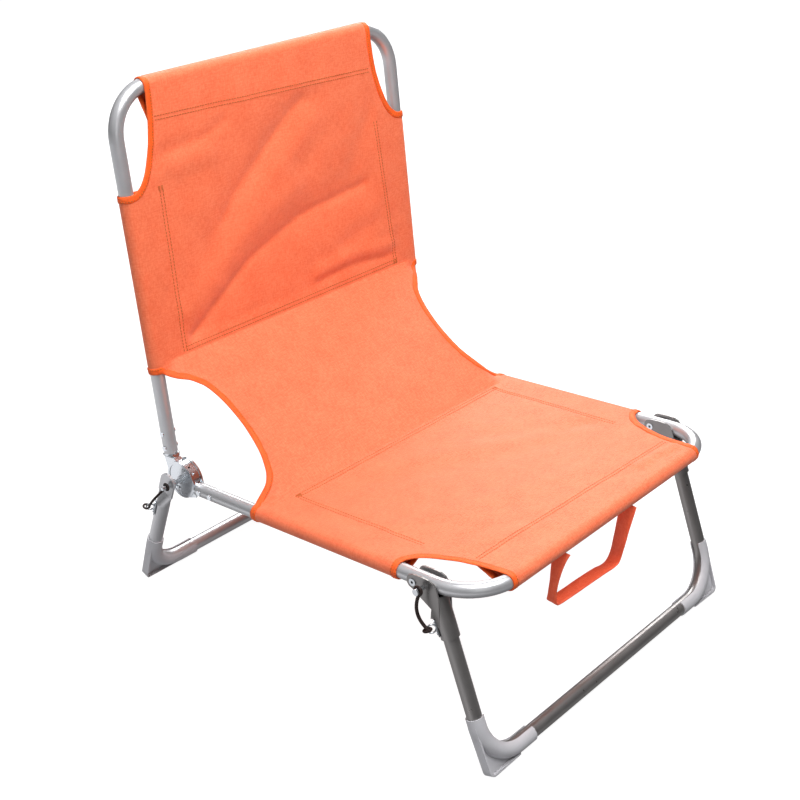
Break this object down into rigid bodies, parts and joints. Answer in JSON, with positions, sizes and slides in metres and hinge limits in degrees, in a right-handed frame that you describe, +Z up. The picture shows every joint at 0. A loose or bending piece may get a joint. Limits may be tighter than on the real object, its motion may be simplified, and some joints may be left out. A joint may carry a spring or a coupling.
{
  "type": "folding camp chair",
  "caption": "Low folding camp chair: cloth sling on a bent tube seat and reclining back with ratchet hinges, folding U-shaped legs and a carry loop.",
  "frame": {"origin": "centre of the bounding box, on the floor", "axes": "+Z up, -Y the front of the chair, +X the sitter's left"},
  "size_m": [0.5984, 0.6669, 0.6889],
  "materials": {
    "frame_paint": "satin silver-grey powder coat",
    "zinc": "bright zinc plate",
    "foot_plastic": "moulded pale grey",
    "rubber": "matt dark brown-black",
    "cloth": "plain woven, coated salmon orange",
    "tape": "woven binding tape, bright orange",
    "spring_steel": "bare spring steel"
  },
  "bodies": {
    "seat": {"seat_tube": "frame_paint", "seat_sling": "cloth", "middle_sling": "cloth", "seat_socket_rivets": "zinc", "hinge_outer_plate_right": "zinc", "hinge_inner_plate_right": "zinc", "hinge_axle_right": "zinc", "hinge_pawl_pin_right": "zinc", "hinge_spring_pin_right": "zinc", "hinge_pawl_spring_right": "spring_steel", "axle_spacer_right": "zinc", "front_binding_right": "tape", "seat_waist_binding_right": "tape", "middle_binding_right": "tape", "hinge_outer_plate_left": "zinc", "hinge_inner_plate_left": "zinc", "hinge_axle_left": "zinc", "hinge_pawl_pin_left": "zinc", "hinge_spring_pin_left": "zinc", "hinge_pawl_spring_left": "spring_steel", "axle_spacer_left": "zinc", "front_binding_left": "tape", "seat_waist_binding_left": "tape", "middle_binding_left": "tape"},
    "back": {"back_tube": "frame_paint", "back_sling": "cloth", "back_socket_rivets": "zinc", "hinge_hub_right": "zinc", "top_binding_right": "tape", "back_waist_binding_right": "tape", "hinge_hub_left": "zinc", "top_binding_left": "tape", "back_waist_binding_left": "tape"},
    "front_legs": {"front_leg_tube": "frame_paint", "front_clip_rivets": "zinc", "front_bracket_right": "frame_paint", "front_pivot_rivet_right": "zinc", "front_rubber_strap_right": "rubber", "front_catch_clip_right": "zinc", "front_foot_right": "foot_plastic", "front_bracket_left": "frame_paint", "front_pivot_rivet_left": "zinc", "front_rubber_strap_left": "rubber", "front_catch_clip_left": "zinc", "front_foot_left": "foot_plastic"},
    "rear_legs": {"rear_leg_tube": "frame_paint", "rear_clip_rivets": "zinc", "rear_rubber_strap_right": "rubber", "rear_catch_clip_right": "zinc", "rear_foot_right": "foot_plastic", "rear_rubber_strap_left": "rubber", "rear_catch_clip_left": "zinc", "rear_foot_left": "foot_plastic"},
    "pawl_right": {"hinge_pawl_right": "zinc"},
    "pawl_left": {"hinge_pawl_left": "zinc"},
    "lock_pin_right": {"front_lock_pin_right": "zinc"},
    "lock_pin_left": {"front_lock_pin_left": "zinc"},
    "carry_strap": {"carry_strap": "cloth"}
  },
  "joints": [
    {"name": "back_recline", "type": "hinge", "parent": "seat", "child": "back", "pos_m": [0, 0.2122, 0.1775], "axis": [-1, 0, 0], "range_deg": [-90, 45]},
    {"name": "front_legs_fold", "type": "hinge", "parent": "seat", "child": "front_legs", "pos_m": [0, -0.20008, 0.22585], "axis": [1, 0, 0], "range_deg": [0, 105]},
    {"name": "rear_legs_fold", "type": "hinge", "parent": "seat", "child": "rear_legs", "pos_m": [0, 0.2122, 0.1775], "axis": [-1, 0, 0], "range_deg": [0, 95]},
    {"name": "pawl_right_swing", "type": "hinge", "parent": "seat", "child": "pawl_right", "pos_m": [-0.2546, 0.20656, 0.19301], "axis": [-1, 0, 0], "range_deg": [0, 12]},
    {"name": "pawl_left_swing", "type": "hinge", "parent": "seat", "child": "pawl_left", "pos_m": [0.2546, 0.20656, 0.19301], "axis": [-1, 0, 0], "range_deg": [0, 12]},
    {"name": "lock_pin_right_pull", "type": "slide", "parent": "front_legs", "child": "lock_pin_right", "axis": [-1, 0, 0], "range_m": [0, 0.008]},
    {"name": "lock_pin_left_pull", "type": "slide", "parent": "front_legs", "child": "lock_pin_left", "axis": [1, 0, 0], "range_m": [0, 0.008]},
    {"name": "carry_strap_swing", "type": "hinge", "parent": "seat", "child": "carry_strap", "pos_m": [-0.027, -0.28921, 0.23838], "axis": [1, 0, 0], "range_deg": [-60, 60]}
  ]
}
